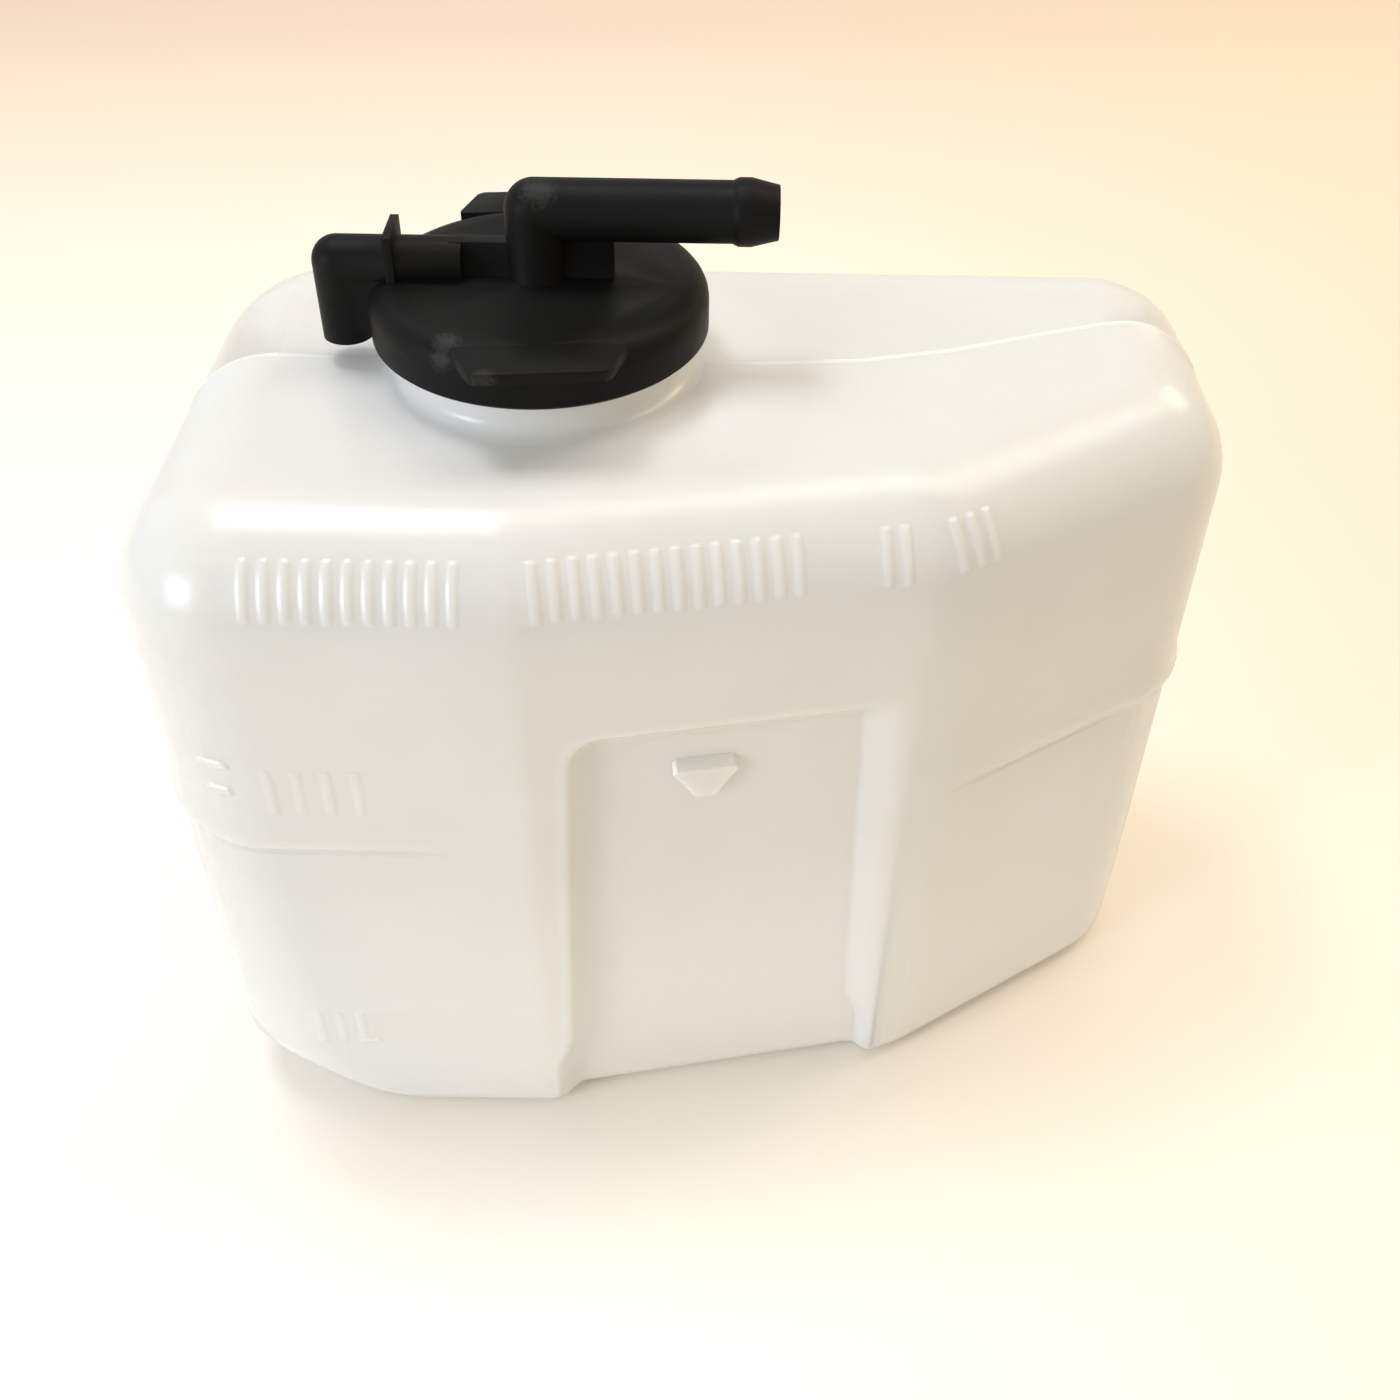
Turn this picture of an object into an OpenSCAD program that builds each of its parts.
// Coolant expansion tank: a blow-moulded translucent shell with a push-on cap
// that carries a hose nipple, an overflow elbow and a dip tube.
// Millimetres. Origin on the base plane under the neck axis, +Z up, +X along
// the hose nipple, -Y towards the faceted front with the bracket recess.

/* [Tank outline] */
// Neck axis to the left end face
left_end = 64.7; // [50:0.1:90]
// Neck axis to the right end face
right_end = 120; // [90:0.5:160]
// Neck axis forward to the front face
front_face = 58.5; // [45:0.5:80]
// Neck axis back to the rear face
back_face = 49; // [40:0.5:80]
// Height of the flat top
tank_height = 136.5; // [100:0.5:200]
// Where the straight front ends and the recessed facet starts
knee_one_x = -1; // [-20:0.5:20]
// Where the recessed facet ends and the right facet starts
knee_two_x = 67; // [50:0.5:90]
// Slope of the recessed facet in plan
facet_angle = 11.3; // [0:0.1:25]
// Slope of the right facet in plan
right_angle = 32.6; // [15:0.1:45]
// Wall thickness of the moulded shell
wall = 2.0; // [1.2:0.1:3]

/* [Tank rounding] */
// Radius of the shoulder all round the top
top_round = 19; // [8:0.5:24]
// Radius of the edge all round the base
base_round = 5; // [2:0.5:10]
// Plan radius of the front left corner
corner_front_left = 21; // [8:0.5:30]
// Plan radius of the right front corner
corner_front_right = 21; // [6:0.5:30]
// Plan radius of the rear left corner
corner_back_left = 25; // [6:0.5:30]
// Plan radius of the rear right corner
corner_back_right = 19; // [6:0.5:30]
// How far the left bevel runs in under the base
left_bevel_run = 20; // [0:0.5:40]
// Height of the left bevel
left_bevel_height = 17; // [6:0.5:30]
// How much wider the right end is at the base than at the top
right_lean = 1.2; // [0:0.1:3]
// How far the right end tucks in at the base
right_tuck = 0.6; // [0:0.5:20]

/* [Level rib] */
// Height of the rib that runs round the ends and the front
rib_height = 77.5; // [60:0.5:100]
// How far the rib stands out
rib_out = 0.7; // [0.2:0.1:1.5]
// How much narrower the lower right end is
step_in = 0.3; // [0:0.1:3]

/* [Bracket recess] */
// Depth of the recess in the middle facet
recess_depth = 3.2; // [1:0.1:8]
// Left edge of the recess along the facet at its top
recess_left = 9; // [4:0.5:20]
// Right edge of the recess along the facet at its top
recess_right = 60.5; // [40:0.5:66]
// Height of the recess top edge
recess_top = 99.5; // [60:0.5:115]
// How far each side spreads out from top to bottom
recess_spread = 2.8; // [0:0.5:6]
// Extra flare of each side close to the base
recess_flare = 2.6; // [0:0.2:6]
// Corner radius at the recess top
recess_corner = 5; // [1:0.5:12]
// Height of the small locating lug in the recess
lug_height = 86.5; // [60:0.5:110]
// Width of the locating lug
lug_width = 11; // [4:0.5:20]

/* [Neck] */
// Outer radius of the filler neck
neck_radius = 24.3; // [15:0.1:32]
// Bore radius of the filler neck
neck_bore = 21.5; // [12:0.1:30]
// Height of the neck above the flat top
neck_rise = 12.1; // [8:0.1:25]
// How far the snap bead stands out from the neck
bead_out = 0.6; // [0.2:0.1:1.2]

/* [Cap] */
// Outer radius of the cap
cap_radius = 28; // [20:0.1:36]
// Height of the cap rim
cap_height = 9.2; // [6:0.1:18]
// Gap between the flat top and the cap rim
rim_gap = 6.5; // [2:0.1:12]
// Edge rounding of the cap
cap_round = 4; // [0.5:0.5:6]
// Clearance between the bead and the cap skirt
skirt_gap = 0.35; // [0.3:0.05:0.8]
// Thickness of the cap top
cap_top = 2.0; // [1.5:0.1:4]
// How far the two grip tabs stand out
tab_out = 4.5; // [2:0.1:8]
// Width of a grip tab at its outer edge
tab_width = 20; // [10:0.5:30]
// Turn of the grip tabs about the cap axis
tab_turn = 5.5; // [0:0.5:30]
// Thickness of a grip tab
tab_thick = 1.9; // [1.5:0.1:5]

/* [Hose nipple] */
// Height of the nipple axis above the cap rim
nipple_height = 20.1; // [15:0.1:30]
// Outer radius of the nipple pipe
nipple_radius = 4.85; // [4:0.05:8]
// Reach of the nipple from the cap axis
nipple_reach = 38.9; // [30:0.1:60]
// Radius of the barb land
barb_radius = 5.3; // [4.5:0.05:9]
// Bore radius of the nipple
nipple_bore = 3.0; // [2:0.1:5]

/* [Overflow elbow] */
// Height of the overflow pipe axis above the cap rim
vent_height = 10.9; // [9:0.1:16]
// Outer radius of the overflow pipe
vent_radius = 4.2; // [3:0.1:6]
// Distance of the down leg from the cap axis
vent_reach = 32.6; // [31:0.1:45]
// How far the down leg ends below the cap rim
vent_drop = 2.2; // [0:0.1:6]
// Bore radius of the overflow pipe
vent_bore = 2.6; // [1.5:0.1:3.5]

/* [Dip tube and seal] */
// Outer radius of the dip tube
tube_radius = 5.8; // [5:0.1:8]
// Gap between the dip tube end and the tank floor plane
tube_end = 13; // [6:0.5:40]
// Outer radius of the spigot under the cap
spigot_radius = 4.0; // [3.5:0.1:6]
// Length of the spigot under the cap
spigot_length = 18; // [8:0.5:30]
// Thickness of the flat seal under the cap
seal_thick = 1.4; // [1:0.1:3]

/* [Hidden] */
eps = 0.01;
rim_z = tank_height + rim_gap;
cap_top_z = rim_z + cap_height;
neck_top = tank_height + neck_rise;
bead_radius = neck_radius + bead_out;
skirt_inner = bead_radius + skirt_gap;
under_z = cap_top_z - cap_top;
nipple_z = rim_z + nipple_height;
vent_z = rim_z + vent_height;
vent_end = rim_z - vent_drop;
knee_two_y = -front_face + (knee_two_x - knee_one_x) * tan(facet_angle);
corner_three_y = knee_two_y + (right_end - knee_two_x) * tan(right_angle);
// plan corners: front left, knee one, knee two, front right, back right, back left
corner_round = [
    corner_front_left, 18, 14, corner_front_right, corner_back_right, corner_back_left
];
corner_steps = [12, 4, 6, 9, 10, 10];

facet_dir = [cos(facet_angle), sin(facet_angle)];
facet_in = [-sin(facet_angle), cos(facet_angle)];
// shape of the recess wall: distance in from its edge, and share of the depth
wall_curve = [[0, 0], [0.5, 0.04], [1.2, 0.18], [2.4, 0.6], [3.4, 0.88], [4.4, 1]];
fine_draws = [0, 0.5, 1.2, 2.4, 3.4, 4.4];
rough_draws = [0, 1.2, 3.4, 4.4];
// mould draft of every wall, mm in per mm up
side_draft = 0.0021;
wall_wave = 0.005;

// a direction of length one, and its left-hand normal
function unit(v) = v / norm(v);
function inward(v) = [-v[1], v[0]];

// the six plan corners, with the left end, front and right end pushed out
function plan_corner(left, front, right) = [
    [-left_end - left, -front_face - front],
    [knee_one_x, -front_face],
    [knee_two_x, knee_two_y],
    [right_end + right, corner_three_y - right * 0.9],
    [right_end + right, back_face],
    [-left_end - left, back_face]
];

// a point of the middle facet: along it, up, and in from its surface
function on_facet(along, up, deep) = [
    knee_one_x + facet_dir[0] * along + facet_in[0] * deep,
    -front_face + facet_dir[1] * along + facet_in[1] * deep,
    up
];

// depth of the recess wall at a distance in from the recess edge
function dent(draw) =
    draw <= 0 ? 0 : lookup(draw, wall_curve) * recess_depth;

// how far the top corner of the recess rounds in at a height
function corner_in(z) =
    let (down = max(0, min(recess_corner, recess_top - z)))
    recess_corner - sqrt(pow(recess_corner, 2) - pow(recess_corner - down, 2));

// how far a recess side has spread out at a height
function side_out(z) =
    recess_spread * max(0, recess_top - z) / (recess_top - 20)
    + recess_flare * lookup(z, [[0, 1], [11, 1], [17, 0.4], [23, 0]]);

// recess points of one ring, from its left edge to its right edge
function recess_points(z, inset, draws) =
    let (
        left = recess_left - side_out(z) + corner_in(z),
        right = recess_right + side_out(z) - corner_in(z),
        limit = dent(recess_top - z)
    )
    [
        for (d = draws)
            on_facet(left + d, z, inset + min(dent(d), limit)),
        for (i = [len(draws) - 1:-1:0])
            on_facet(right - draws[i], z, inset + min(dent(draws[i]), limit))
    ];

// one closed ring of the shell at height z, drawn in by "drawn" and the mould draft
function outline(z, drawn, left, front, right, fine) =
    let (
        corner = plan_corner(left, front, right),
        count = len(corner),
        inset = drawn + side_draft * z
    )
    [for (i = [0:count - 1])
        let (
            before = unit(corner[i] - corner[(i + count - 1) % count]),
            after = unit(corner[(i + 1) % count] - corner[i]),
            n_before = inward(before),
            n_after = inward(after),
            moved = corner[i] + (n_before + n_after) * inset / (1 + n_before * n_after),
            turn = acos(min(1, before * after)),
            share = turn < 30 ? 0.5 : min(1, 0.92 * corner_round[i] / top_round),
            round = max(corner_round[i] - inset * share, 0.8),
            start = moved - before * round * tan(turn / 2),
            centre = start + n_before * round,
            steps = fine ? corner_steps[i] : ceil(corner_steps[i] / 2),
            arc = [
                for (k = [0:steps])
                    let (a = turn * k / steps, r = -n_before * round)
                    [
                        centre[0] + r[0] * cos(a) - r[1] * sin(a),
                        centre[1] + r[0] * sin(a) + r[1] * cos(a),
                        z
                    ]
            ]
        )
        for (p = i == 1 ? concat(arc, recess_points(z, inset, fine ? fine_draws : rough_draws)) : arc)
            waved(p)
    ];

// the faint waviness that a blown wall keeps
function waved(p) = [
    p[0] + wall_wave * sin(p[1] * 31 + p[2] * 47),
    p[1] + wall_wave * sin(p[0] * 29 + p[2] * 53),
    p[2]
];

// sideways shift of the two ends at a height
function left_shift(z) =
    z > left_bevel_height ? 0 : -left_bevel_run * pow(1 - z / left_bevel_height, 1.25);
function right_shift(z) =
    right_lean * (0.5 - z / tank_height)
    - (z < rib_height - 2 ? step_in : 0)
    - (z > 22 ? 0 : right_tuck * pow(1 - z / 22, 2));

// the outside: base edge, wall, level rib, recess top and shoulder
function outer_rings() = [
    for (a = [0:18:90])
        let (z = base_round * (1 - cos(a)))
        outline(z, base_round * (1 - sin(a)), left_shift(z), 0, right_shift(z), true),
    for (z = [8, 11, 14, 17, 20, 23])
        outline(z, 0, left_shift(z), 0, right_shift(z), true),
    for (step = [[-3.2, 0, 0], [-1.3, 0.3, 0.2], [-0.5, 1, 0.9], [0.8, 1, 1], [2.4, 0.35, 0.5], [5, 0, 0]])
        let (z = rib_height + step[0], out = rib_out * step[1])
        outline(z, 0, out, out * 0.8, right_shift(z) + rib_out * step[2], true),
    for (down = [5, 4.4, 3.4, 2.4, 1.2, 0.5, 0])
        let (z = recess_top - down)
        outline(z, 0, 0, 0, right_shift(z), true),
    for (a = [0:9:90])
        let (z = tank_height - top_round * (1 - sin(a)))
        outline(z, top_round * (1 - cos(a)), 0, 0, right_shift(z), true)
];

// the inside, one wall thickness in, with coarser steps
function inner_rings() =
    let (low = base_round - wall, high = top_round - wall)
    [
        for (a = [0:30:90])
            let (z = wall + low * (1 - cos(a)))
            outline(z, wall + low * (1 - sin(a)), left_shift(z - 1), 0, right_shift(z), false),
        for (z = [8, 12, 18, 23, rib_height - 3, rib_height + 4])
            outline(z, wall, left_shift(z - 1), 0, right_shift(z), false),
        for (down = [5, 3.4, 1.2, 0])
            let (z = recess_top - down)
            outline(z, wall, 0, 0, right_shift(z), false),
        for (a = [0:15:90])
            let (z = tank_height - wall - high * (1 - sin(a)))
            outline(z, wall + high * (1 - cos(a)), 0, 0, right_shift(z), false)
    ];

// closes a stack of equal rings into a solid
module stack(rings) {
    n = len(rings[0]);
    m = len(rings);
    points = [for (ring = rings) each ring];
    sides = [
        for (j = [0:m - 2])
            for (i = [0:n - 1])
                let (a = j * n + i, b = j * n + (i + 1) % n)
                each [[a, a + n, b], [b, a + n, b + n]]
    ];
    low = [for (i = [0:n - 1]) i];
    high = [for (i = [n - 1:-1:0]) (m - 1) * n + i];
    polyhedron(points = points, faces = concat(sides, [low, high]), convexity = 8);
}

// small shield-shaped lug on the recess floor
module recess_lug() {
    middle = (recess_left + recess_right) / 2 - 4;
    translate(on_facet(middle, lug_height, recess_depth + 0.6))
        rotate([0, 0, facet_angle])
            rotate([90, 0, 0])
                linear_extrude(height = 2.2)
                    polygon([
                        [-lug_width / 2, 3.6],
                        [-lug_width / 2 + 0.6, 4.2],
                        [lug_width / 2 - 0.6, 4.2],
                        [lug_width / 2, 3.6],
                        [lug_width * 0.36, 0],
                        [lug_width * 0.16, -3.4],
                        [-lug_width * 0.16, -3.4],
                        [-lug_width * 0.36, 0]
                    ]);
}

// tank

// neck wall with its flared foot and snap bead
module neck_wall() {
    foot = 3;
    rotate_extrude($fn = 96)
        polygon([
            [neck_bore - 1, tank_height - 1.1],
            [neck_radius + foot + 0.1, tank_height - 1.1],
            for (a = [0:15:90])
                [neck_radius + foot * (1 - sin(a)), tank_height + 0.03 + foot * (1 - cos(a))],
            [neck_radius, neck_top - 4.6],
            [bead_radius, neck_top - 3.8],
            [bead_radius, neck_top - 2.6],
            [neck_radius - 0.2, neck_top - 0.6],
            [neck_radius - 0.8, neck_top],
            [neck_bore - 1, neck_top]
        ]);
}

module tank() {
    color("#efeade")
    difference() {
        union() {
            stack(outer_rings());
            neck_wall();
        }
        stack(inner_rings());
        translate([0, 0, tank_height - wall - 4])
            cylinder(h = neck_rise + 10, r = neck_bore, $fn = 96);
    }
    color("#efeade") recess_lug();
}

// cap

// cap body: skirt, top and the ring that holds the seal
module cap_body() {
    rotate_extrude($fn = 96)
        polygon([
            [0, under_z],
            [19, under_z],
            [19, under_z - 4],
            [20.3, under_z - 4],
            [20.3, under_z],
            [skirt_inner, under_z],
            [skirt_inner, rim_z + 0.6],
            [skirt_inner + 0.6, rim_z],
            [cap_radius - 0.6, rim_z],
            [cap_radius, rim_z + 0.6],
            for (a = [0:15:90])
                [
                    cap_radius - cap_round * (1 - cos(a)),
                    cap_top_z - cap_round * (1 - sin(a))
                ],
            [0, cap_top_z]
        ]);
}

// one of the two grip tabs, towards -Y
module grip_tab() {
    translate([0, 0, cap_top_z - tab_thick])
        linear_extrude(height = tab_thick)
            polygon([
                [-13.5, -cap_radius + 4],
                [-13.5, -cap_radius + 3.2],
                [-tab_width / 2 - 0.7, -cap_radius - tab_out + 0.8],
                [-tab_width / 2 + 0.4, -cap_radius - tab_out],
                [tab_width / 2 - 0.4, -cap_radius - tab_out],
                [tab_width / 2 + 0.7, -cap_radius - tab_out + 0.8],
                [13.5, -cap_radius + 3.2],
                [13.5, -cap_radius + 4]
            ]);
}

// solid outside of the hose nipple, with its barb
module nipple_solid() {
    translate([0, 0, under_z])
        cylinder(h = nipple_z - under_z, r = nipple_radius, $fn = 64);
    translate([0, 0, nipple_z])
        sphere(r = nipple_radius, $fn = 64);
    translate([0, 0, nipple_z])
        rotate([0, 90, 0])
            rotate_extrude($fn = 64)
                polygon([
                    [0, 0],
                    [nipple_radius, 0],
                    [nipple_radius, nipple_reach - 7.4],
                    [barb_radius, nipple_reach - 6.4],
                    [barb_radius, nipple_reach - 4.4],
                    [nipple_radius - 0.6, nipple_reach],
                    [0, nipple_reach]
                ]);
    // spigot that takes the dip tube
    translate([0, 0, under_z - spigot_length])
        cylinder(h = spigot_length + eps, r = spigot_radius, $fn = 64);
}

// solid outside of the overflow pipe and its down leg
module vent_solid() {
    difference() {
        translate([-vent_reach, 0, vent_z])
            rotate([0, 90, 0])
                cylinder(h = vent_reach - 12, r = vent_radius, $fn = 64);
        // nothing of the pipe hangs down over the seal
        translate([-26, -6, under_z - 3])
            cube([20, 12, 3.4]);
    }
    translate([-vent_reach, 0, vent_z])
        sphere(r = vent_radius, $fn = 64);
    translate([-vent_reach, 0, vent_end])
        cylinder(h = vent_z - vent_end, r = vent_radius, $fn = 64);
    // bridge that fuses the leg to the rim
    translate([-vent_reach, -vent_radius + 0.4, rim_z + 0.2])
        cube([vent_reach - cap_radius + 3, vent_radius * 2 - 0.8, vent_z - rim_z - 1]);
}

// webs and the small plate across the overflow pipe
module cap_webs() {
    translate([0, -1.4, cap_top_z - 1])
        cube([12.5, 2.8, nipple_z - cap_top_z + 1]);
    translate([-14, -1.4, cap_top_z - 1])
        cube([12, 2.8, 6.8]);
    translate([-24.1, -4.6, cap_top_z - 1.4])
        cube([1.4, 9.2, 9]);
}

module cap() {
    color("#242427")
    difference() {
        union() {
            cap_body();
            rotate([0, 0, tab_turn]) grip_tab();
            rotate([0, 0, tab_turn + 180]) grip_tab();
            nipple_solid();
            vent_solid();
            cap_webs();
        }
        // nipple bore, round the elbow and down the spigot
        translate([0, 0, nipple_z])
            rotate([0, 90, 0])
                cylinder(h = nipple_reach + 1, r = nipple_bore, $fn = 48);
        translate([0, 0, nipple_z])
            sphere(r = nipple_bore, $fn = 48);
        translate([0, 0, under_z - spigot_length - 1])
            cylinder(h = nipple_z - under_z + spigot_length + 1, r = nipple_bore, $fn = 48);
        // overflow bore from the cap inside to the down leg
        translate([-vent_reach, 0, vent_z])
            rotate([0, 90, 0])
                cylinder(h = vent_reach - 14, r = vent_bore, $fn = 48);
        translate([-vent_reach, 0, vent_z])
            sphere(r = vent_bore, $fn = 48);
        translate([-vent_reach, 0, vent_end - 1])
            cylinder(h = vent_z - vent_end + 1, r = vent_bore, $fn = 48);
        translate([-16.5, 0, under_z - 1])
            cylinder(h = vent_z - under_z + 1, r = 1.8, $fn = 48);
    }
}

// small parts

module cap_seal() {
    color("#1b1b1d")
    translate([0, 0, under_z - 0.1 - seal_thick])
        difference() {
            cylinder(h = seal_thick, r = bead_radius - 0.1, $fn = 96);
            translate([0, 0, -1])
                cylinder(h = seal_thick + 2, r = 20.6, $fn = 96);
        }
}

module dip_tube() {
    color("#2c2c2e")
    translate([0, 0, tube_end])
        difference() {
            cylinder(h = under_z - 2 - tube_end, r = tube_radius, $fn = 64);
            translate([0, 0, -1])
                cylinder(h = under_z - tube_end, r = spigot_radius + 0.02, $fn = 64);
        }
}

tank();
cap();
cap_seal();
dip_tube();
